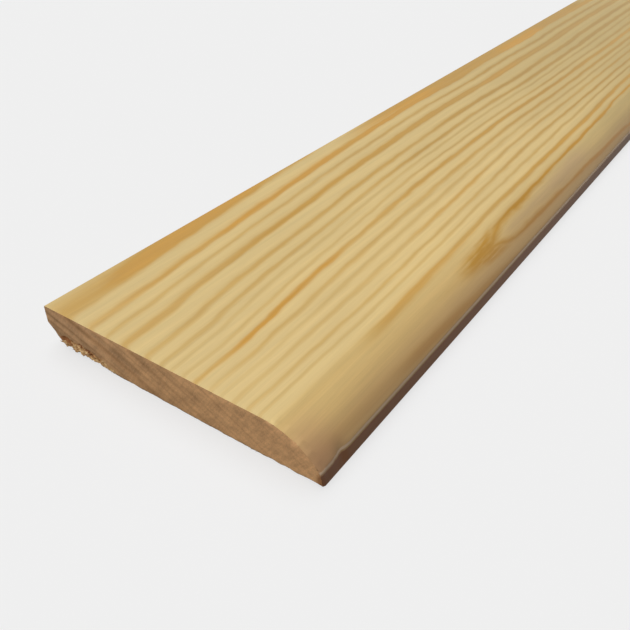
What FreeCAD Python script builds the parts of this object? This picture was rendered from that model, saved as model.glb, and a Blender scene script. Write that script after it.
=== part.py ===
import FreeCAD, Part
import math
import os

# A softwood skirting board: one length of timber, planed to one section along its
# whole length and sawn square at both ends. It lies on its back. X runs along the
# board, Y runs across it from the rounded top edge to the floor edge, and Z runs up
# from the back to the show face. The origin is the middle of the underside's outline.

# Overall size, in millimetres.
board_length = 2400.0
board_width = 90.0
board_thickness = 12.0

# Top edge: the face falls away in a round, and a narrow flat is left under it.
nose_radius = 19.0
top_flat_height = 3.7
top_flat_lean = 0.8

# Floor edge: square next to the face, then bevelled back so that the board sits
# tight on an uneven floor.
floor_flat_height = 5.2
back_bevel_inset = 5.7

# Arrises that the sander has taken off. The two on the back are left sharp.
face_arris_radius = 0.5
bevel_arris_radius = 0.4
nose_arris_radius = 0.6

# Outline of the section, from the sizes above.
sawn_end_x = -board_length / 2
top_edge_y = -board_width / 2
floor_edge_y = board_width / 2
bevel_height = board_thickness - floor_flat_height
nose_drop = board_thickness - top_flat_height
nose_reach = math.sqrt(2 * nose_radius * nose_drop - nose_drop ** 2)
nose_arris_y = top_edge_y + top_flat_lean
nose_start_y = nose_arris_y + nose_reach


def point(y, z):
    """A point of the section, in the plane of the sawn end at -X."""
    return FreeCAD.Vector(sawn_end_x, y, z)


def nose_point(share):
    """A point on the round: share 0 is on the face and share 1 is at the narrow flat."""
    angle = math.asin(nose_reach / nose_radius) * share
    centre_z = board_thickness - nose_radius
    return point(
        nose_start_y - nose_radius * math.sin(angle),
        centre_z + nose_radius * math.cos(angle),
    )


def section():
    """The closed outline of the board, as a face."""
    back_at_top = point(top_edge_y, 0)
    back_at_bevel = point(floor_edge_y - back_bevel_inset, 0)
    bevel_at_flat = point(floor_edge_y, bevel_height)
    face_at_floor = point(floor_edge_y, board_thickness)
    edges = [
        Part.LineSegment(back_at_top, back_at_bevel).toShape(),
        Part.LineSegment(back_at_bevel, bevel_at_flat).toShape(),
        Part.LineSegment(bevel_at_flat, face_at_floor).toShape(),
        Part.LineSegment(face_at_floor, nose_point(0)).toShape(),
        Part.Arc(nose_point(0), nose_point(0.5), nose_point(1)).toShape(),
        Part.LineSegment(nose_point(1), back_at_top).toShape(),
    ]
    return Part.Face(Part.Wire(edges))


def long_edge(solid, corner):
    """The edge that runs the whole length of the board from one corner of the section."""
    middle = corner + FreeCAD.Vector(board_length / 2, 0, 0)
    return min(solid.Edges, key=lambda edge: (edge.CenterOfMass - middle).Length)


def skirting_board():
    """The whole board, with its three eased arrises."""
    solid = section().extrude(FreeCAD.Vector(board_length, 0, 0))
    eased = [
        (point(floor_edge_y, board_thickness), face_arris_radius),
        (point(floor_edge_y, bevel_height), bevel_arris_radius),
        (nose_point(1), nose_arris_radius),
    ]
    for corner, radius in eased:
        solid = solid.makeFillet(radius, [long_edge(solid, corner)])
    return solid


os.makedirs("parts", exist_ok=True)
skirting_board().exportStep("parts/skirting_board.step")
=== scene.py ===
import bpy
import math
import random
from mathutils import Matrix, Vector
from mathutils import noise as mathutils_noise


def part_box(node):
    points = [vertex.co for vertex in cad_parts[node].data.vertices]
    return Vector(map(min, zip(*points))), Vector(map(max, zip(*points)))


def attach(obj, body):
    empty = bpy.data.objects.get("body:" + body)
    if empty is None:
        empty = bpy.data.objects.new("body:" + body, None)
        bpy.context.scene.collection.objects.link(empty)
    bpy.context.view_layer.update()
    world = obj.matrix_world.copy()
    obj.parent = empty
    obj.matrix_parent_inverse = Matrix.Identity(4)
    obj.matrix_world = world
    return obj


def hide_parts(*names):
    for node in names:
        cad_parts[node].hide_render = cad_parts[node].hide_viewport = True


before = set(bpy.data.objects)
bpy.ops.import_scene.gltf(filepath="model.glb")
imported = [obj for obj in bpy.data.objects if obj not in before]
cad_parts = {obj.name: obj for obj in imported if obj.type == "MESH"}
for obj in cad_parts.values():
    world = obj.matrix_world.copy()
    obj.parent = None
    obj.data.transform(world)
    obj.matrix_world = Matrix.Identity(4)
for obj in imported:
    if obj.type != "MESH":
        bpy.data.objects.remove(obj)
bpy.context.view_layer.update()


# ---------------------------------------------------------------------------
# The camera stands over the sawn end, a little outside the rounded top edge.
# It looks down and along the board, which runs on past the edge of its view.
# ---------------------------------------------------------------------------

board_low, board_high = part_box("skirting_board")
sawn_end = board_low.x

camera_data = bpy.data.cameras.new("camera")
camera_data.sensor_width = 36.0
camera_data.lens = 40.7
camera_data.clip_start = 0.005
camera_data.clip_end = 100.0
camera = bpy.data.objects.new("camera", camera_data)
camera.location = (sawn_end - 0.0848, board_low.y - 0.0574, 0.1212)
camera.rotation_euler = (math.radians(90 - 36.06), 0, math.radians(35.02 - 90))
bpy.context.scene.collection.objects.link(camera)
bpy.context.scene.camera = camera
bpy.context.scene.view_settings.view_transform = "Standard"


# ---------------------------------------------------------------------------
# The studio floor is a wide pale sheet. To the camera it is an even light grey
# that keeps a soft shadow. It sends little light up under the board's edges.
# ---------------------------------------------------------------------------

backdrop_grey = (0.871, 0.871, 0.871, 1)


def seen_directly(tree):
    """1 for what the camera, a reflection or a clear body shows, and 0 for the light on other things."""
    path = tree.nodes.new("ShaderNodeLightPath")
    shown = path.outputs["Is Camera Ray"]
    for ray in ("Is Glossy Ray", "Is Transmission Ray"):
        either = tree.nodes.new("ShaderNodeMath")
        either.operation = "MAXIMUM"
        tree.links.new(shown, either.inputs[0])
        tree.links.new(path.outputs[ray], either.inputs[1])
        shown = either.outputs[0]
    return shown


def floor_finish():
    """Half of what the camera sees is the sheet's own even grey, and half is the light that falls on it."""
    material = bpy.data.materials.new("studio_floor")
    material.use_nodes = True
    tree = material.node_tree
    tree.nodes.clear()
    even = tree.nodes.new("ShaderNodeEmission")
    even.inputs["Color"].default_value = backdrop_grey
    even.inputs["Strength"].default_value = 1.0
    lit = tree.nodes.new("ShaderNodeBsdfDiffuse")
    lit.inputs["Color"].default_value = backdrop_grey
    shadowed = tree.nodes.new("ShaderNodeMixShader")
    shadowed.inputs["Fac"].default_value = 0.25
    dull = tree.nodes.new("ShaderNodeBsdfDiffuse")
    dull.inputs["Color"].default_value = (0.10, 0.10, 0.10, 1)
    choose = tree.nodes.new("ShaderNodeMixShader")
    out = tree.nodes.new("ShaderNodeOutputMaterial")
    tree.links.new(even.outputs[0], shadowed.inputs[1])
    tree.links.new(lit.outputs[0], shadowed.inputs[2])
    tree.links.new(seen_directly(tree), choose.inputs["Fac"])
    tree.links.new(dull.outputs[0], choose.inputs[1])
    tree.links.new(shadowed.outputs[0], choose.inputs[2])
    tree.links.new(choose.outputs[0], out.inputs["Surface"])
    return material


bpy.ops.object.select_all(action="DESELECT")
bpy.ops.mesh.primitive_plane_add(size=40, location=(0, 0, 0))
floor = bpy.context.object
floor.name = "floor"
floor.data.materials.append(floor_finish())


# ---------------------------------------------------------------------------
# The studio light is soft: a pale room, a wide lamp high up beyond the floor
# edge, and a weaker wide lamp that faces the sawn end.
# ---------------------------------------------------------------------------

world = bpy.data.worlds.new("pale_room")
bpy.context.scene.world = world
world.use_nodes = True
room = world.node_tree
room.nodes.clear()
room_light = room.nodes.new("ShaderNodeBackground")
room_light.inputs["Color"].default_value = (1, 1, 1, 1)
room_light.inputs["Strength"].default_value = 0.14
room_seen = room.nodes.new("ShaderNodeBackground")
room_seen.inputs["Color"].default_value = backdrop_grey
room_seen.inputs["Strength"].default_value = 1.0
room_choice = room.nodes.new("ShaderNodeMixShader")
room_out = room.nodes.new("ShaderNodeOutputWorld")
room.links.new(seen_directly(room), room_choice.inputs["Fac"])
room.links.new(room_light.outputs[0], room_choice.inputs[1])
room.links.new(room_seen.outputs[0], room_choice.inputs[2])
room.links.new(room_choice.outputs[0], room_out.inputs["Surface"])


def wide_lamp(name, towards, power, spread):
    """A lamp far away, as wide as the angle spread, that shines from the direction towards."""
    lamp = bpy.data.lights.new(name, "SUN")
    lamp.energy = power
    lamp.angle = math.radians(spread)
    holder = bpy.data.objects.new(name, lamp)
    holder.rotation_euler = Vector(towards).to_track_quat("Z", "Y").to_euler()
    bpy.context.scene.collection.objects.link(holder)


wide_lamp("high_lamp", (0.25, 0.47, 1.0), 1.90, 50)
wide_lamp("end_lamp", (-1.0, 0.25, 0.75), 1.6, 60)


# ---------------------------------------------------------------------------
# The skirting board is one length of pine, planed on a moulder and sawn square.
# Its face is sanded and clear-finished. The two sawn ends are left rough.
# ---------------------------------------------------------------------------

# The section, in metres: the same round, flats and bevel as the solid has.
nose_radius = 0.019
top_flat_height = 0.0037
top_flat_lean = 0.0008
floor_flat_height = 0.0052
back_bevel_inset = 0.0057
face_arris_radius = 0.0005
bevel_arris_radius = 0.0004
nose_arris_radius = 0.0006

# The near end is set back by this much, so that its torn fibres stay within the solid's length.
saw_allowance = 0.00012

# How far in from the near end the surface is cut fine enough for its roughness.
rough_depth = 0.0023
# Faces whose middle is this close to an end's plane belong to that end.
end_skin = 0.0001

thickness = board_high.z
top_edge = board_low.y
floor_edge = board_high.y
nose_arris = Vector((0, top_edge + top_flat_lean, top_flat_height))
nose_drop = thickness - top_flat_height
nose_reach = math.sqrt(2 * nose_radius * nose_drop - nose_drop ** 2)
nose_turn = math.asin(nose_reach / nose_radius)
nose_centre = Vector((0, nose_arris.y + nose_reach, thickness - nose_radius))


def across(angle):
    """The direction in the section that leans from straight up towards the top edge."""
    return Vector((0, -math.sin(angle), math.cos(angle)))


def plane_off(on_plane, outwards):
    """Cuts away all that lies outside one plane, as a moulder's knife does."""
    bpy.ops.mesh.select_all(action="SELECT")
    bpy.ops.mesh.bisect(plane_co=on_plane, plane_no=outwards, clear_outer=True)


def ease(corner, first, last, radius, cuts):
    """Rounds a corner of the section between two faces, given by the angles that they look out at."""
    both = across(first) + across(last)
    centre = corner - both * radius / (1 + across(first).dot(across(last)))
    for cut in range(cuts):
        looks = across(first + (last - first) * (cut + 0.5) / cuts)
        plane_off(centre + looks * radius, looks)


def section():
    """The outline of the board's section, cut from a plain oblong at the far sawn end."""
    bpy.ops.object.select_all(action="DESELECT")
    bpy.ops.mesh.primitive_plane_add(size=1, rotation=(0, math.radians(90), 0))
    board = bpy.context.object
    board.name = "planed_board"
    board.scale = (thickness, floor_edge - top_edge, 1)
    bpy.ops.object.transform_apply(location=False, rotation=True, scale=True)
    board.location = (board_high.x, 0, thickness / 2)
    bpy.ops.object.transform_apply(location=True, rotation=False, scale=False)
    bpy.ops.object.mode_set(mode="EDIT")
    nose_cuts = 28
    for cut in range(nose_cuts):
        looks = across(nose_turn * (cut + 0.5) / nose_cuts)
        plane_off(nose_centre + looks * nose_radius, looks)
    flat_angle = math.radians(90) - math.atan(top_flat_lean / top_flat_height)
    plane_off(nose_arris, across(flat_angle))
    ease(nose_arris, nose_turn, flat_angle, nose_arris_radius, 4)
    bevel_height = thickness - floor_flat_height
    bevel_angle = -math.radians(90) - math.atan(back_bevel_inset / bevel_height)
    plane_off(Vector((0, floor_edge, bevel_height)), across(bevel_angle))
    ease(Vector((0, floor_edge, bevel_height)), bevel_angle, -math.radians(90), bevel_arris_radius, 3)
    ease(Vector((0, floor_edge, thickness)), -math.radians(90), 0, face_arris_radius, 5)
    bpy.ops.object.mode_set(mode="OBJECT")
    return board


def run_out(board):
    """Draws the section out along the board, with rings of edges that lie close at both sawn ends."""
    near = [1, 1.6, 2.2, 3, 4, 5, 6, 7, 8, 9, 10, 11, 12, 14, 18, 26, 50]
    ends = [distance / 1000 for distance in near]
    length = board_high.x - board_low.x - saw_allowance
    middle = [step / 10 for step in range(1, round(length * 10))]
    bpy.ops.object.mode_set(mode="EDIT")
    bpy.ops.mesh.select_all(action="SELECT")
    done = 0
    for station in ends + middle + [length - distance for distance in reversed(ends)] + [length]:
        bpy.ops.mesh.extrude_region_move(TRANSFORM_OT_translate={"value": (done - station, 0, 0)})
        done = station
    bpy.ops.mesh.select_all(action="SELECT")
    bpy.ops.mesh.normals_make_consistent(inside=False)
    bpy.ops.object.mode_set(mode="OBJECT")


def choose_faces(board, wanted):
    """Selects the faces whose middle and outward direction suit wanted, and nothing else."""
    bpy.ops.object.mode_set(mode="EDIT")
    bpy.ops.mesh.select_all(action="DESELECT")
    bpy.ops.mesh.select_mode(type="FACE")
    bpy.ops.object.mode_set(mode="OBJECT")
    for face in board.data.polygons:
        face.select = wanted(face.center, face.normal)
    bpy.ops.object.mode_set(mode="EDIT")


def square_up(board, wanted, step):
    """Cuts the wanted faces into small squares, as fine as step, for the roughness of a sawn end."""
    for direction, low, high in (("Y", top_edge, floor_edge), ("Z", 0, thickness)):
        for line in range(1, round((high - low) / step)):
            choose_faces(board, wanted)
            place = low + line * step
            if direction == "Y":
                bpy.ops.mesh.bisect(plane_co=(0, place, 0), plane_no=(0, 1, 0))
            else:
                bpy.ops.mesh.bisect(plane_co=(0, 0, place), plane_no=(0, 0, 1))
            bpy.ops.object.mode_set(mode="OBJECT")


board = section()
outline = [board.data.vertices[corner].co.copy() for corner in board.data.polygons[0].vertices]
run_out(board)
square_up(board, lambda middle, looks: middle.x < sawn_end + rough_depth, 0.0005)
square_up(board, lambda middle, looks: middle.x > board_high.x - end_skin, 0.001)


# The board's own map, for when its finish is painted onto it: each half of its length is rolled out flat,
# one above the other, and the two sawn ends lie side by side above them.

def rim():
    """The outline's corners with their distances round the section, starting at the bottom of the bevel."""
    bottom = min(range(len(outline)), key=lambda n: (round(outline[n].z, 6), -outline[n].y))
    corners = outline[bottom:] + outline[:bottom + 1]
    if corners[1].z < 0.0001:
        corners.reverse()
    run = [0.0]
    for first, second in zip(corners, corners[1:]):
        run.append(run[-1] + (second - first).length)
    return list(zip(corners, corners[1:], run)), run[-1]


rim_edges, rim_length = rim()
rim_places = {}


def round_section(place):
    """How far round the section a place is, and how deep below the surface."""
    key = (round(place.y, 7), round(place.z, 7))
    if key not in rim_places:
        best = None
        spot = Vector((outline[0].x, place.y, place.z))
        for first, second, run in rim_edges:
            side = second - first
            share = min(max((spot - first).dot(side) / side.length_squared, 0.0), 1.0)
            away = (first + side * share - spot).length
            if best is None or away < best[1]:
                best = (run + side.length * share, away)
        rim_places[key] = best
    return rim_places[key]


def lay_out(board):
    """Writes the map: half the length in each of two rows, and the sawn ends above."""
    half = board_high.x
    board.data.uv_layers.active.name = "OFBake"
    flat = board.data.uv_layers["OFBake"].data
    for face in board.data.polygons:
        corners = []
        for loop in face.loop_indices:
            vertex = board.data.loops[loop].vertex_index
            corners.append((loop, board.data.vertices[vertex].co))
        if abs(face.normal.x) > 0.9:
            begins = 0.005 if face.center.x < 0 else 0.505
            for loop, place in corners:
                across_end = (floor_edge - place.y) / (floor_edge - top_edge)
                flat[loop].uv = (begins + 0.44 * across_end, 0.925 + 0.06 * place.z / thickness)
            continue
        begins, row = (-half, 0.002) if face.center.x < 0 else (0.0, 0.462)
        middle_run = round_section(face.center)[0]
        for loop, place in corners:
            run = round_section(place)[0]
            if run - middle_run > rim_length / 2:
                run -= rim_length
            if middle_run - run > rim_length / 2:
                run += rim_length
            flat[loop].uv = (0.004 + 0.992 * (place.x - begins) / half, row + 0.44 * run / rim_length)


lay_out(board)

# The saw left the ends rough and their arrises uneven. At the near end it tore out a strip of the back
# corner beside the bevel, and a small chip came off the arris below the round.

def share_of(value, low, high):
    """0 at low, 1 at high, and straight between."""
    return min(max((value - low) / (high - low), 0.0), 1.0)


def pushed(board, name, share, direction, depth, lump):
    """Moves the surface by up to depth, unevenly, in lumps about as wide as lump, where share is above 0."""
    group = board.vertex_groups.new(name=name)
    for vertex in board.data.vertices:
        held = share(vertex.co)
        if held > 0:
            group.add([vertex.index], held, "REPLACE")
    lumps = bpy.data.textures.new(name, "CLOUDS")
    lumps.noise_scale = lump
    lumps.noise_depth = 1
    push = board.modifiers.new(name, "DISPLACE")
    push.texture = lumps
    push.texture_coords = "LOCAL"
    push.direction = direction
    push.vertex_group = name
    push.strength = depth
    push.mid_level = 0
    bpy.ops.object.modifier_apply(modifier=name)
    board.vertex_groups.remove(board.vertex_groups[name])


near_face = sawn_end + saw_allowance


def near_arris(place):
    """The edges all round the near sawn end."""
    where = share_of(round_section(place)[1], 0.0008, 0) * share_of(place.x, near_face + 0.0009, near_face)
    on_round = share_of(place.y, -0.0250, -0.0360)
    return where * (0.45 + 0.55 * on_round) * share_of(place.y, 0.0447, 0.0430)


def torn_corner(place):
    """The strip beside the bevel, where the saw came out."""
    where = share_of(place.y, 0.0190, 0.0290) * share_of(place.y, 0.0425, 0.0405)
    return where * share_of(place.z, 0.0030, 0) * share_of(place.x, near_face + 0.006, near_face)


def tear_top(place):
    """How far up the end the tear reaches: ragged, and lower towards the middle of the board."""
    ragged = mathutils_noise.noise(Vector((3.1, 300 * place.y, 0))) + 0.5 * mathutils_noise.noise(place * 900)
    return 0.0016 + 0.0024 * share_of(place.y, 0.0200, 0.0320) + 0.0008 * ragged


def torn_pits(place):
    """The pits above it, where fibres were pulled out of the end."""
    where = share_of(place.y, 0.0200, 0.0270) * share_of(place.y, 0.0405, 0.0375)
    top = tear_top(place)
    level = share_of(place.z, 0.0003, top - 0.0005) * share_of(place.z, top + 0.0003, top - 0.0004)
    return where * level * (place.x < near_face + 0.0009)


def lower_arris(place):
    """The near end's edge that stands on the floor."""
    return share_of(place.z, 0.0007, 0) * share_of(place.x, near_face + 0.0012, near_face)


def nose_chip(place):
    """The chip on the arris below the round."""
    away = (Vector((0, place.y, place.z)) - nose_arris).length
    along = abs(place.x - (sawn_end + 0.0085))
    return share_of(away, 0.0016, 0.0002) * share_of(along, 0.0035, 0.0005)




def by_the_tear(middle, looks):
    """The faces at the near end that lie in or beside the tear."""
    return middle.x < sawn_end + rough_depth and middle.z < 0.0051 and 0.019 < middle.y < 0.043


choose_faces(board, by_the_tear)
bpy.ops.mesh.subdivide(number_cuts=2)
bpy.ops.object.mode_set(mode="OBJECT")
pushed(board, "saw_marks_near", lambda place: float(place.x < near_face + end_skin), "X", 0.00006, 0.0013)
pushed(board, "saw_marks_far", lambda place: float(place.x > board_high.x - end_skin), "X", -0.00030, 0.0016)
pushed(board, "near_arris", near_arris, "NORMAL", -0.0007, 0.0040)
pushed(board, "lower_arris", lower_arris, "Z", 0.0003, 0.0008)
pushed(board, "torn_corner", torn_corner, "Z", 0.0012, 0.0016)
pushed(board, "torn_pits", torn_pits, "X", 0.0024, 0.0011)
pushed(board, "nose_chip", nose_chip, "NORMAL", -0.0012, 0.0020)


# Where it tore, single fibres stand out of the wood. One is drawn out to a bent point, and copied.
def splinter():
    """One torn fibre, 1 m long and drawn to a point, that the copies are scaled from."""
    bpy.ops.object.select_all(action="DESELECT")
    bpy.ops.mesh.primitive_circle_add(vertices=5, radius=0.1, fill_type="NGON", location=(0, 0, 0))
    fibre = bpy.context.object
    fibre.name = "torn_fibre"
    bpy.ops.object.mode_set(mode="EDIT")
    for step, thinner, aside in ((0.35, 0.9, 0.02), (0.35, 0.6, 0.06), (0.30, 0.08, 0.10)):
        bpy.ops.mesh.extrude_region_move(TRANSFORM_OT_translate={"value": (aside, 0, step)})
        bpy.ops.transform.resize(value=(thinner, thinner, 1))
    bpy.ops.mesh.select_all(action="SELECT")
    bpy.ops.mesh.normals_make_consistent(inside=False)
    bpy.ops.object.mode_set(mode="OBJECT")
    corner_map = fibre.data.uv_layers.active or fibre.data.uv_layers.new()
    corner_map.name = "OFBake"
    for face in fibre.data.polygons:
        for loop in face.loop_indices:
            place = fibre.data.vertices[fibre.data.loops[loop].vertex_index].co
            turn = 0.5 + math.atan2(place.y, place.x) / (2 * math.pi)
            corner_map.data[loop].uv = (0.965 + 0.03 * place.z, 0.93 + 0.05 * turn)
    return fibre


draw = random.Random(7)
fibre_plan = []
for number in range(14):
    root_place = (near_face + 0.0009, draw.uniform(0.0255, 0.0405), draw.uniform(0.0006, 0.0019))
    aim = (-draw.uniform(0.4, 0.8), draw.uniform(-0.6, 1.0), draw.uniform(-0.4, 0.2))
    fibre_plan.append((root_place, aim, draw.uniform(0.0009, 0.0015), draw.uniform(1.9, 3.0)))
for number in range(24):
    root_place = (near_face + 0.0004, draw.uniform(-0.0425, 0.0250), draw.uniform(0.0002, 0.0007))
    aim = (-draw.uniform(0.3, 0.8), draw.uniform(-1.0, 1.0), draw.uniform(-0.6, 0.1))
    fibre_plan.append((root_place, aim, draw.uniform(0.0004, 0.0007), draw.uniform(0.9, 1.4)))
# The two long splinters that stick out at the corner.
fibre_plan.append(((near_face + 0.0010, 0.0392, 0.0016), (-0.5, 1.0, -0.12), 0.0026, 1.3))
fibre_plan.append(((near_face + 0.0012, 0.0350, 0.0011), (-1.0, 0.9, -0.35), 0.0024, 1.5))

first_fibre = splinter()
first_fibre.data.materials.clear()
fibres = []
for start, aim, length, stout in fibre_plan:
    turn = Vector(aim).to_track_quat("Z", "X").to_matrix().to_4x4()
    size = Matrix.Diagonal((length * stout, length * stout, length, 1))
    place = Matrix.Translation(start) @ turn @ size
    lowest_x = min((place @ vertex.co).x for vertex in first_fibre.data.vertices)
    lowest_z = min((place @ vertex.co).z for vertex in first_fibre.data.vertices)
    lift = Matrix.Translation((max(0, sawn_end - lowest_x), 0, max(0, 0.00002 - lowest_z)))
    fibre = bpy.data.objects.new("torn_fibre", first_fibre.data.copy())
    bpy.context.scene.collection.objects.link(fibre)
    fibre.matrix_world = lift @ place
    fibres.append(fibre)
bpy.data.objects.remove(first_fibre)

# The growth rings, from the pith outwards. Each is given by its late wood: where that is darkest, in
# millimetres out from the innermost face fibres, how far it fades inwards and outwards, how dark, how orange.
growth_rings = [
    (-7.0, 0.9, 0.4, 0.55, 0.4), (-5.0, 0.8, 0.4, 0.50, 0.5), (-3.2, 0.9, 0.4, 0.60, 0.4),
    (-1.0, 1.0, 0.4, 0.65, 0.5), (0.9, 0.8, 0.4, 0.60, 0.5), (3.0, 1.1, 0.5, 0.70, 0.6),
    (5.4, 1.2, 0.6, 0.70, 0.5), (9.45, 5.0, 0.9, 0.80, 0.4), (11.95, 1.15, 0.6, 0.74, 0.65),
    (13.85, 0.75, 0.5, 0.52, 0.4), (16.0, 1.5, 0.7, 0.80, 0.5), (18.7, 0.9, 0.6, 0.62, 0.4),
    (20.5, 0.8, 0.5, 0.56, 0.4), (21.7, 0.5, 0.4, 0.30, 0.3), (23.2, 0.6, 0.4, 0.42, 0.4),
    (24.7, 0.8, 0.6, 0.66, 0.6), (26.6, 0.8, 0.6, 0.52, 0.5), (28.1, 0.6, 0.5, 0.34, 0.4),
    (29.7, 0.7, 0.5, 0.42, 0.5), (31.6, 0.7, 0.5, 0.48, 0.5), (33.1, 0.6, 0.4, 0.40, 0.4),
    (35.0, 1.0, 0.6, 0.66, 0.7), (36.5, 0.42, 0.18, 0.72, 0.9), (38.6, 0.8, 0.5, 0.60, 0.5),
    (40.9, 0.9, 0.5, 0.60, 0.5), (43.0, 0.9, 0.5, 0.60, 0.5), (45.4, 0.9, 0.5, 0.60, 0.5),
]
innermost = -9.0
outermost = 47.0
pith_below_face = 250.0
pith_beyond_floor_edge = 60.0

# How far the stem swelled along the board, in millimetres, as (distance from the near sawn end,
# swelling), for rings at five places, from those beside the floor edge to those beside the top edge.
swelling_by_ring = {
    11.9: [
        (0, 0.0), (17, 0.5), (40, 1.1), (62, 1.6), (86, 2.1), (116, 2.7), (155, 3.2), (190, 3.5), (230, 3.3),
        (270, 3.6), (320, 3.3), (355, 3.6), (420, 3.3), (560, 2.6), (720, 1.4), (900, 2.4), (1080, 4.0),
        (1260, 3.2), (1440, 1.8), (1640, 2.6), (1860, 4.4), (2080, 3.4), (2260, 2.4), (2400, 2.8),
    ],
    17.4: [
        (0, 0.0), (17, 0.7), (26, 1.3), (40, 1.9), (62, 2.4), (86, 2.8), (116, 3.5), (155, 3.9), (190, 4.1),
        (226, 3.9), (256, 3.5), (287, 3.6), (317, 3.4), (352, 3.7), (420, 3.6), (560, 2.3), (740, 1.2),
        (910, 2.3), (1090, 3.7), (1270, 2.8), (1450, 1.5), (1650, 2.4), (1870, 4.0), (2090, 2.9), (2400, 2.4),
    ],
    24.0: [
        (0, 0.0), (17, 0.2), (26, 0.6), (40, 1.2), (50, 1.7), (74, 2.3), (100, 3.0), (134, 3.6), (177, 3.7),
        (226, 3.2), (256, 2.7), (300, 2.5), (350, 2.1), (430, 2.3), (560, 1.9), (740, 0.9), (920, 2.0),
        (1100, 3.3), (1280, 2.4), (1460, 1.2), (1660, 2.2), (1880, 3.5), (2100, 2.4), (2400, 2.0),
    ],
    32.4: [
        (0, 0.0), (40, 0.2), (62, 0.5), (86, 1.0), (116, 1.5), (155, 2.3), (190, 2.7), (226, 2.5), (256, 2.4),
        (290, 2.2), (350, 1.9), (420, 1.3), (560, 0.6), (760, 0.2), (940, 1.2), (1120, 2.2), (1300, 1.3),
        (1480, 0.4), (1680, 1.4), (1900, 2.3), (2120, 1.1), (2400, 0.9),
    ],
    36.0: [
        (0, 0.0), (40, 0.1), (62, 0.3), (86, 0.52), (98, 0.72), (104, 0.85), (110, 1.05), (118, 1.22),
        (134, 1.3), (200, 1.5), (226, 1.6), (256, 2.0),
        (320, 1.9), (420, 1.2), (560, 0.6), (760, 0.2), (940, 1.0), (1120, 1.9), (1300, 1.2),
        (1480, 0.4), (1680, 1.2), (1900, 2.0), (2120, 1.0), (2400, 0.8),
    ],
}

# Where one ring's late wood is darker, lighter or fuller of resin for a stretch, as (place of the ring, from,
# to along the board, added darkness, added orange).
resin_stretches = [
    (9.3, 20, 92, 0.22, 0.4), (24.7, 16, 66, 0.30, 0.6), (36.5, 122, 160, 0.30, 0.7),
    (36.5, 172, 216, 0.15, 0.6), (11.8, 58, 130, 0.12, 0.25), (11.8, 148, 214, 0.14, 0.3),
    (11.8, 292, 345, 0.10, 0.3), (16.0, 236, 276, 0.05, 0.2), (24.7, 284, 312, 0.20, 0.0),
    (24.7, 336, 372, 0.30, 0.1), (29.7, 88, 146, 0.18, 0.2), (26.6, -20, 10, -0.25, 0.0),
    (28.1, -30, 42, -0.16, 0.0), (35.0, -40, 40, -0.42, -0.2), (35.0, 48, 90, 0.05, 0.5),
]

# Marks that the rings alone don't give, each as (from, to in millimetres out from the innermost face fibres,
# from, to along the board): one wide dark ring, a flame of resin on the round, and a pale lens beside it.
broad_ring = (10.2, 11.7, 150.0, 420.0)
resin_flame = (36.15, 36.62, 82.0, 108.0)
pale_lens = (36.8, 38.4, 112.0, 190.0)


def joined(tree, kind, *inputs, **settings):
    """Adds a node, sets its options, and feeds its inputs in order from numbers or other nodes' outputs."""
    node = tree.nodes.new(kind)
    for name, value in settings.items():
        setattr(node, name, value)
    for place, value in enumerate(inputs):
        if value is None:
            continue
        if isinstance(value, bpy.types.NodeSocket):
            tree.links.new(value, node.inputs[place])
        else:
            node.inputs[place].default_value = value
    return node.outputs[0]


def maths(tree, operation, *inputs):
    """One step of arithmetic between node outputs and numbers."""
    return joined(tree, "ShaderNodeMath", *inputs, operation=operation)


def eased(tree, value, low, high):
    """0 below low, 1 above high, and a smooth rise between."""
    return joined(tree, "ShaderNodeMapRange", value, low, high, 0.0, 1.0, interpolation_type="SMOOTHSTEP")


def straight(tree, value, low, high, first, last):
    """first below low, last above high, and a straight change between."""
    return joined(tree, "ShaderNodeMapRange", value, low, high, first, last)


def between(tree, value, low, high, soft):
    """1 from low to high, fading to 0 over soft on both sides."""
    rise = eased(tree, value, low - soft, low + soft)
    fall = eased(tree, value, high + soft, high - soft)
    return maths(tree, "MULTIPLY", rise, fall)


def patch(tree, out, along, limits, soft_out, soft_along):
    """1 inside a patch of the timber with the given limits outwards and along it, and 0 outside."""
    low, high, start, end = limits
    in_ring = between(tree, out, low, high, soft_out)
    return maths(tree, "MULTIPLY", in_ring, between(tree, along, start, end, soft_along))


def drawn(tree, value, points, low, high, scale):
    """Reads a drawn curve: points are (place, height) over low to high, with heights from 0 to scale."""
    node = tree.nodes.new("ShaderNodeFloatCurve")
    tree.links.new(straight(tree, value, low, high, 0.0, 1.0), node.inputs["Value"])
    curve = node.mapping.curves[0]
    spots = [((place - low) / (high - low), height / scale) for place, height in points]
    curve.points[0].location = spots[0]
    curve.points[1].location = spots[-1]
    for spot in spots[1:-1]:
        curve.points.new(*spot)
    for point in curve.points:
        point.handle_type = "AUTO_CLAMPED"
    node.mapping.update()
    return maths(tree, "MULTIPLY", node.outputs[0], scale)


def noise(tree, place, scale, detail=2.0, roughness=0.5):
    """Soft noise from -0.5 to 0.5."""
    node = tree.nodes.new("ShaderNodeTexNoise")
    tree.links.new(place, node.inputs["Vector"])
    node.inputs["Scale"].default_value = scale
    node.inputs["Detail"].default_value = detail
    node.inputs["Roughness"].default_value = roughness
    return maths(tree, "SUBTRACT", node.outputs["Fac"], 0.5)


def stretched(tree, body, along, across_board, up):
    """The place inside the timber, with the grain drawn out: one step of noise is so many millimetres."""
    shares = []
    for output, step in zip(body, (along, across_board, up)):
        shares.append(maths(tree, "DIVIDE", output, step))
    return joined(tree, "ShaderNodeCombineXYZ", *shares)


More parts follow.
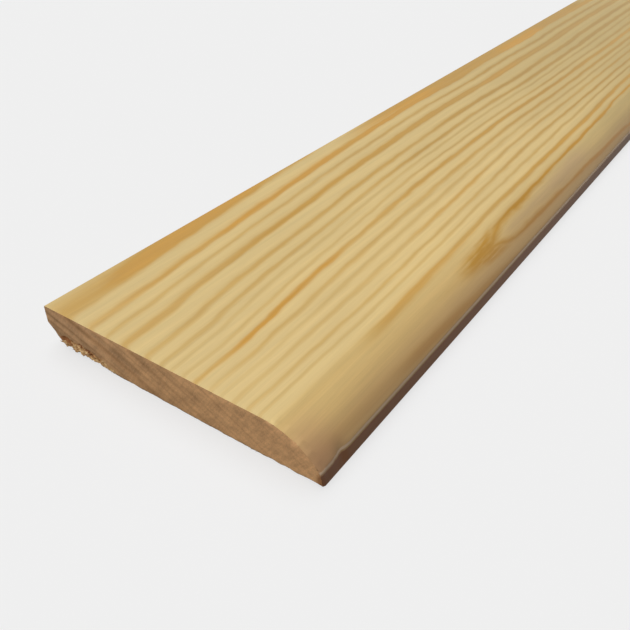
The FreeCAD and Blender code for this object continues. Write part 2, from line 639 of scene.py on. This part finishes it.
def growth_group():
    """The timber's own body: how dark and how orange it is at each place inside it."""
    tree = bpy.data.node_groups.new("pine_growth", "ShaderNodeTree")
    names = ("Late wood", "Orange", "Along", "Inwards", "Below face", "Out from pith")
    for name in names:
        tree.interface.new_socket(name, in_out="OUTPUT", socket_type="NodeSocketFloat")
    place = tree.nodes.new("ShaderNodeTexCoord").outputs["Object"]
    split = tree.nodes.new("ShaderNodeSeparateXYZ")
    tree.links.new(place, split.inputs[0])
    along = maths(tree, "MULTIPLY", maths(tree, "SUBTRACT", split.outputs[0], sawn_end), 1000.0)
    inwards = maths(tree, "MULTIPLY", maths(tree, "SUBTRACT", floor_edge, split.outputs[1]), 1000.0)
    below_face = maths(tree, "MULTIPLY", maths(tree, "SUBTRACT", thickness, split.outputs[2]), 1000.0)

    # The curves are read on the square root of the distance, so that they are finest at the near end.
    far = (board_high.x - board_low.x) * 1000
    root = maths(tree, "SQRT", maths(tree, "MAXIMUM", along, 0.0))
    swellings = []
    for ring, points in swelling_by_ring.items():
        rooted = [(math.sqrt(place), height) for place, height in points]
        swellings.append((ring, drawn(tree, root, rooted, 0.0, math.sqrt(far), 10.0)))
    from_pith = maths(tree, "ADD", inwards, pith_beyond_floor_edge)
    above_pith = maths(tree, "SUBTRACT", pith_below_face, below_face)

    def out_with(swelling):
        """How far out from the pith the place lies once the stem has swelled."""
        risen = maths(tree, "ADD", above_pith, swelling)
        upwards = maths(tree, "MULTIPLY", risen, risen)
        squares = maths(tree, "ADD", upwards, maths(tree, "MULTIPLY", from_pith, from_pith))
        return maths(tree, "SUBTRACT", maths(tree, "SQRT", squares), pith_below_face)

    roughly = out_with(swellings[2][1])
    swelling = swellings[0][1]
    for (low, _), (high, towards) in zip(swellings, swellings[1:]):
        share = straight(tree, roughly, low, high, 0.0, 1.0)
        swelling = joined(tree, "ShaderNodeMix", share, None, swelling, towards, data_type="FLOAT")
    wave = noise(tree, stretched(tree, (along, inwards, below_face), 60.0, 25.0, 25.0), 1.0, 2.0)
    ripple = noise(tree, stretched(tree, (along, inwards, below_face), 11.0, 4.0, 4.0), 1.0, 2.0)
    out = maths(tree, "MULTIPLY_ADD", wave, 0.3, out_with(swelling))
    calmer = straight(tree, inwards, 72.0, 80.0, 0.48, 0.24)
    out = maths(tree, "ADD", maths(tree, "MULTIPLY", ripple, calmer), out)

    darkness = [(innermost, 0.0)]
    redness = [(innermost, 0.4)]
    for middle, inner, outer, dark, orange in growth_rings:
        start = max(middle - inner, darkness[-1][0] + 0.02)
        darkness += [(start, 0.0), (middle - 0.3 * inner, 0.75 * dark), (middle, dark), (middle + outer, 0.0)]
        redness.append((middle, orange))
    darkness.append((outermost, 0.0))
    redness.append((outermost, 0.4))
    dark = drawn(tree, out, darkness, innermost, outermost, 1.0)
    orange = drawn(tree, out, redness, innermost, outermost, 1.0)
    lengthwise = maths(tree, "DIVIDE", along, 60.0)
    row = joined(tree, "ShaderNodeCombineXYZ", lengthwise, maths(tree, "MULTIPLY", out, 0.7), 0.0)
    patchy = maths(tree, "ADD", maths(tree, "MULTIPLY", noise(tree, row, 1.0, 2.0), 1.0), 1.0)
    for ring, start, end, more_dark, more_orange in resin_stretches:
        here = patch(tree, out, along, (ring - 0.9, ring + 0.6, start, end), 0.5, 9.0)
        stretch = maths(tree, "MULTIPLY_ADD", here, more_dark / 0.6, 1.0)
        dark = maths(tree, "MULTIPLY", dark, stretch)
        orange = maths(tree, "MULTIPLY_ADD", here, more_orange, orange)
    broad = patch(tree, out, along, broad_ring, 0.4, 25.0)
    dark = maths(tree, "MAXIMUM", dark, maths(tree, "MULTIPLY", broad, 0.55))
    # On the round, a ring runs level with the surface for a stretch, and shows as a wide resinous flame.
    flecks = noise(tree, stretched(tree, (along, inwards, below_face), 9.0, 0.8, 0.8), 1.0, 2.0)
    level = patch(tree, out, along, resin_flame, 0.17, 8.0)
    flame = maths(tree, "MULTIPLY", level, eased(tree, flecks, -0.40, 0.05))
    dark = maths(tree, "MAXIMUM", dark, maths(tree, "MULTIPLY", flame, 0.74))
    orange = maths(tree, "MULTIPLY_ADD", level, 1.0, orange)
    late = maths(tree, "MULTIPLY", dark, patchy)

    out_node = tree.nodes.new("NodeGroupOutput")
    for place, result in enumerate((late, orange, along, inwards, below_face, out)):
        tree.links.new(result, out_node.inputs[place])
    return tree


def mixed_colour(tree, share, first, second):
    """Between two colours, by share."""
    node = tree.nodes.new("ShaderNodeMix")
    node.data_type = "RGBA"
    for place, given in ((0, share), (6, first), (7, second)):
        if isinstance(given, bpy.types.NodeSocket):
            tree.links.new(given, node.inputs[place])
        else:
            node.inputs[place].default_value = given
    return node.outputs[2]


def brightened(tree, colour, factor):
    """The colour made lighter or darker all over by a factor."""
    node = tree.nodes.new("ShaderNodeVectorMath")
    node.operation = "SCALE"
    tree.links.new(colour, node.inputs[0])
    tree.links.new(factor, node.inputs["Scale"])
    return node.outputs[0]


def raised(tree, height, strength, distance):
    """The small relief of a surface, for the shader's Normal."""
    node = tree.nodes.new("ShaderNodeBump")
    node.inputs["Strength"].default_value = strength
    node.inputs["Distance"].default_value = distance
    tree.links.new(height, node.inputs["Height"])
    return node.outputs["Normal"]


def planed_pine():
    """The planed and sanded faces: golden early wood, brown and orange late wood, fine long fibres."""
    material = bpy.data.materials.new("planed_pine")
    material.use_nodes = True
    tree = material.node_tree
    finish = tree.nodes["Principled BSDF"]
    growth = tree.nodes.new("ShaderNodeGroup")
    growth.node_tree = pine_growth
    late, orange, along, inwards, below_face, out = [growth.outputs[place] for place in range(6)]
    body = (along, inwards, below_face)

    golden = (0.625, 0.460, 0.190, 1)
    duller = (0.475, 0.347, 0.133, 1)
    paler = (0.672, 0.495, 0.210, 1)
    brown = (0.450, 0.270, 0.040, 1)
    resin = (0.530, 0.260, 0.018, 1)
    round_tone = (0.745, 0.510, 0.200, 1)
    lens_tone = (0.55, 0.37, 0.20, 1)
    weathered_brown = (0.340, 0.225, 0.060, 1)
    # Painted shade colour for the lower part of the round.
    round_shade_tone = (0.57, 0.31, 0.165, 1)
    # Painted shade colours for the narrow square edge, near the sawn end and further along.
    near_edge_shade = (0.225, 0.075, 0.018, 1)
    far_edge_shade = (0.10, 0.045, 0.015, 1)
    # Painted highlight colour for the arris below the round.
    arris_highlight_tone = (0.98, 0.72, 0.48, 1)
    early = mixed_colour(tree, eased(tree, inwards, 25.0, 75.0), golden, paler)
    warmer = eased(tree, inwards, 74.0, 83.0)
    warmer = maths(tree, "MULTIPLY", warmer, straight(tree, along, 60.0, 170.0, 1.0, 0.3))
    early = mixed_colour(tree, warmer, early, round_tone)
    early = mixed_colour(tree, eased(tree, along, 110.0, 360.0), early, duller)
    within = patch(tree, out, along, pale_lens, 0.25, 12.0)
    early = mixed_colour(tree, maths(tree, "MULTIPLY", within, 0.6), early, lens_tone)
    dark = mixed_colour(tree, orange, brown, resin)
    weathered = straight(tree, along, 110.0, 330.0, 0.0, 0.65)
    weathered = maths(tree, "MULTIPLY", weathered, straight(tree, orange, 0.4, 0.9, 1.0, 0.2))
    dark = mixed_colour(tree, weathered, dark, weathered_brown)
    nearer = straight(tree, along, 0.0, 80.0, 0.95, 1.25)
    further = straight(tree, along, 110.0, 340.0, 0.0, 1.35)
    crisp = maths(tree, "ADD", nearer, further)
    colour = mixed_colour(tree, maths(tree, "MULTIPLY", late, crisp), early, dark)

    # Fine fibres, wider streaks and slow clouds of tone, all drawn out along the grain.
    fibres = noise(tree, stretched(tree, body, 14.0, 0.35, 0.35), 1.0, 3.0, 0.6)
    streaks = noise(tree, stretched(tree, body, 90.0, 2.2, 2.2), 1.0, 3.0)
    clouds = noise(tree, stretched(tree, body, 55.0, 22.0, 22.0), 1.0, 2.0)
    tone = maths(tree, "MULTIPLY_ADD", fibres, 0.24, 1.0)
    tone = maths(tree, "MULTIPLY_ADD", streaks, 0.26, tone)
    tone = maths(tree, "MULTIPLY_ADD", clouds, 0.14, tone)
    colour = brightened(tree, colour, tone)

    # Painted shade: the lower part of the round is tinted a little browner, as the warm shade on it. Near the
    # near sawn end the whole round takes the same tint.
    round_shade = maths(tree, "MULTIPLY", eased(tree, below_face, 0.8, 7.0), eased(tree, inwards, 76.0, 86.0))
    round_near_end = maths(tree, "MULTIPLY", eased(tree, along, 15.0, 2.0), eased(tree, inwards, 76.0, 84.0))
    round_shade = maths(tree, "ADD", round_shade, round_near_end)
    colour = mixed_colour(tree, maths(tree, "MULTIPLY", round_shade, 0.42), colour, round_shade_tone)

    # The narrow square edge is left as the cutter leaves it. Its dark brown is painted shade, deeper further
    # along the board, and a thin painted highlight runs along its arris.
    edge = between(tree, below_face, 9.0, 20.0, 0.2)
    edge = maths(tree, "MULTIPLY", edge, eased(tree, inwards, 88.0, 89.0))
    painted_shade = mixed_colour(tree, eased(tree, along, 80.0, 320.0), near_edge_shade, far_edge_shade)
    colour = mixed_colour(tree, maths(tree, "MULTIPLY", edge, 0.92), colour, painted_shade)
    # A thin painted highlight along the arris below the round.
    arris_highlight = between(tree, below_face, 8.05, 8.6, 0.15)
    arris_highlight = maths(tree, "MULTIPLY", arris_highlight, eased(tree, inwards, 87.6, 88.3))
    colour = mixed_colour(tree, maths(tree, "MULTIPLY", arris_highlight, 0.9), colour, arris_highlight_tone)

    tree.links.new(colour, finish.inputs["Base Color"])
    smooth = maths(tree, "MULTIPLY_ADD", fibres, 0.12, 0.52)
    tree.links.new(maths(tree, "MULTIPLY_ADD", late, -0.08, smooth), finish.inputs["Roughness"])
    height = maths(tree, "MULTIPLY_ADD", late, 0.6, fibres)
    tree.links.new(raised(tree, height, 0.25, 0.00006), finish.inputs["Normal"])
    finish.inputs["Specular IOR Level"].default_value = 0.3
    return material


def sawn_pine():
    """The sawn ends: brown end grain with the rings in arcs, open pores and the fine scratches of the saw,
    and painted shade along the lowest edge.
    """
    material = bpy.data.materials.new("sawn_pine")
    material.use_nodes = True
    tree = material.node_tree
    finish = tree.nodes["Principled BSDF"]
    growth = tree.nodes.new("ShaderNodeGroup")
    growth.node_tree = pine_growth
    late = growth.outputs["Late wood"]
    along = growth.outputs["Along"]
    inwards = growth.outputs["Inwards"]
    below_face = growth.outputs["Below face"]
    body = (along, inwards, below_face)
    early = (0.575, 0.325, 0.150, 1)
    brown = (0.31, 0.145, 0.055, 1)
    pinkish = (0.64, 0.41, 0.25, 1)
    pulled_brown = (0.27, 0.115, 0.05, 1)
    corner_brown = (0.235, 0.085, 0.026, 1)
    clear = straight(tree, inwards, 5.0, 60.0, 0.55, 0.35)
    colour = mixed_colour(tree, maths(tree, "MULTIPLY", late, clear), early, brown)
    pale = maths(tree, "MULTIPLY", maths(tree, "SUBTRACT", 1.0, late), eased(tree, inwards, 42.0, 8.0))
    colour = mixed_colour(tree, maths(tree, "MULTIPLY", pale, 0.22), colour, pinkish)
    slower = maths(tree, "MULTIPLY", inwards, 0.1)
    ringwise = joined(tree, "ShaderNodeCombineXYZ", growth.outputs["Out from pith"], slower, 0.0)
    years = noise(tree, ringwise, 0.42, 1.0)
    years = maths(tree, "MULTIPLY", years, straight(tree, inwards, 18.0, 45.0, 1.3, 0.0))
    pores = noise(tree, stretched(tree, body, 1.2, 0.45, 0.45), 1.0, 3.0, 0.7)
    turned = tree.nodes.new("ShaderNodeVectorRotate")
    turned.rotation_type = "X_AXIS"
    turned.inputs["Angle"].default_value = math.radians(55)
    tree.links.new(stretched(tree, body, 1.0, 1.0, 1.0), turned.inputs["Vector"])
    slanted = tree.nodes.new("ShaderNodeSeparateXYZ")
    tree.links.new(turned.outputs[0], slanted.inputs[0])
    scratches = noise(tree, stretched(tree, slanted.outputs, 1.0, 5.0, 0.7), 1.0, 2.0, 0.6)
    blotches = noise(tree, stretched(tree, body, 4.0, 5.0, 3.0), 1.0, 2.0)
    pulled = between(tree, inwards, 5.5, 20.0, 1.5)
    pulled = maths(tree, "MULTIPLY", pulled, between(tree, below_face, 7.9, 10.3, 0.5))
    tufts = noise(tree, stretched(tree, body, 2.0, 1.5, 0.9), 1.0, 2.0)
    pulled = maths(tree, "MULTIPLY", pulled, eased(tree, tufts, -0.08, 0.08))
    pulled = maths(tree, "MULTIPLY", pulled, eased(tree, along, 20.0, 10.0))
    colour = mixed_colour(tree, maths(tree, "MULTIPLY", pulled, 0.85), colour, pulled_brown)
    # Painted shade: the lowest strip of the end, where it stands on the floor, is darkened.
    painted_shade = maths(tree, "MULTIPLY", eased(tree, below_face, 11.2, 11.9), -0.45)
    tone = maths(tree, "MULTIPLY_ADD", pores, 0.7, maths(tree, "ADD", painted_shade, 1.0))
    tone = maths(tree, "MULTIPLY_ADD", scratches, 0.45, tone)
    tone = maths(tree, "MULTIPLY_ADD", blotches, 0.9, tone)
    tone = maths(tree, "ADD", tone, years)
    tone = maths(tree, "MULTIPLY", tone, straight(tree, inwards, 4.0, 80.0, 0.88, 1.12))
    corner = maths(tree, "MULTIPLY", eased(tree, inwards, 87.8, 89.0), eased(tree, below_face, 8.0, 9.5))
    colour = mixed_colour(tree, maths(tree, "MULTIPLY", corner, 0.7), colour, corner_brown)
    colour = brightened(tree, colour, tone)
    tree.links.new(colour, finish.inputs["Base Color"])
    finish.inputs["Roughness"].default_value = 0.8
    height = maths(tree, "ADD", pores, maths(tree, "MULTIPLY", scratches, 0.8))
    tree.links.new(raised(tree, height, 0.4, 0.00012), finish.inputs["Normal"])
    finish.inputs["Specular IOR Level"].default_value = 0.2
    return material


def torn_pine():
    """Torn fibres at the broken corner: pale cream, with reddish brown between them and painted shade along
    their lowest edge.
    """
    material = bpy.data.materials.new("torn_pine")
    material.use_nodes = True
    tree = material.node_tree
    finish = tree.nodes["Principled BSDF"]
    growth = tree.nodes.new("ShaderNodeGroup")
    growth.node_tree = pine_growth
    body = [growth.outputs[place] for place in (2, 3, 4)]
    strands = noise(tree, stretched(tree, body, 3.0, 1.2, 0.6), 1.0, 3.0, 0.6)
    patches = noise(tree, stretched(tree, body, 2.0, 2.0, 0.9), 1.0, 2.0)
    cream = (0.86, 0.58, 0.29, 1)
    straw = (0.50, 0.29, 0.12, 1)
    rust = (0.36, 0.15, 0.055, 1)
    lowest_shade_brown = (0.17, 0.09, 0.045, 1)
    colour = mixed_colour(tree, eased(tree, strands, -0.04, 0.14), straw, cream)
    higher = maths(tree, "MULTIPLY", eased(tree, body[2], 10.0, 8.7), 0.22)
    rusty = eased(tree, maths(tree, "ADD", patches, higher), 0.05, 0.16)
    colour = mixed_colour(tree, rusty, colour, rust)
    # Painted shade: the lowest part of the torn fibres, next to the floor, is darkened.
    lowest_shade = maths(tree, "MULTIPLY", eased(tree, body[2], 11.2, 11.8), 0.85)
    colour = mixed_colour(tree, lowest_shade, colour, lowest_shade_brown)
    tree.links.new(colour, finish.inputs["Base Color"])
    finish.inputs["Roughness"].default_value = 0.85
    tree.links.new(raised(tree, strands, 0.6, 0.0003), finish.inputs["Normal"])
    finish.inputs["Specular IOR Level"].default_value = 0.2
    return material


pine_growth = growth_group()
board.data.materials.append(planed_pine())
board.data.materials.append(sawn_pine())
board.data.materials.append(torn_pine())
for face in board.data.polygons:
    deep = round_section(face.center)[1]
    at_end = face.center.x < near_face + 0.0026 or face.center.x > board_high.x - 0.0009
    if at_end and (abs(face.normal.x) > 0.75 or deep > 0.0010):
        face.material_index = 1
    ragged = 0.0012 * mathutils_noise.noise(face.center * 600)
    torn_off = 0.0200 + ragged < face.center.y < 0.0412 + ragged and face.center.z < tear_top(face.center)
    if torn_off and face.center.x < near_face + 0.0019 + ragged:
        face.material_index = 2
bpy.ops.object.select_all(action="DESELECT")
for fibre in fibres:
    for face in fibre.data.polygons:
        face.material_index = 2
    for finish in board.data.materials:
        fibre.data.materials.append(finish)
    fibre.select_set(True)
board.select_set(True)
bpy.context.view_layer.objects.active = board
bpy.ops.object.join()
weighted = board.modifiers.new("true_faces", "WEIGHTED_NORMAL")
weighted.mode = "FACE_AREA"
weighted.keep_sharp = True
bpy.ops.object.shade_smooth_by_angle(angle=math.radians(30))
bpy.ops.object.modifier_apply(modifier="true_faces")
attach(board, "root")
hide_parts("skirting_board")
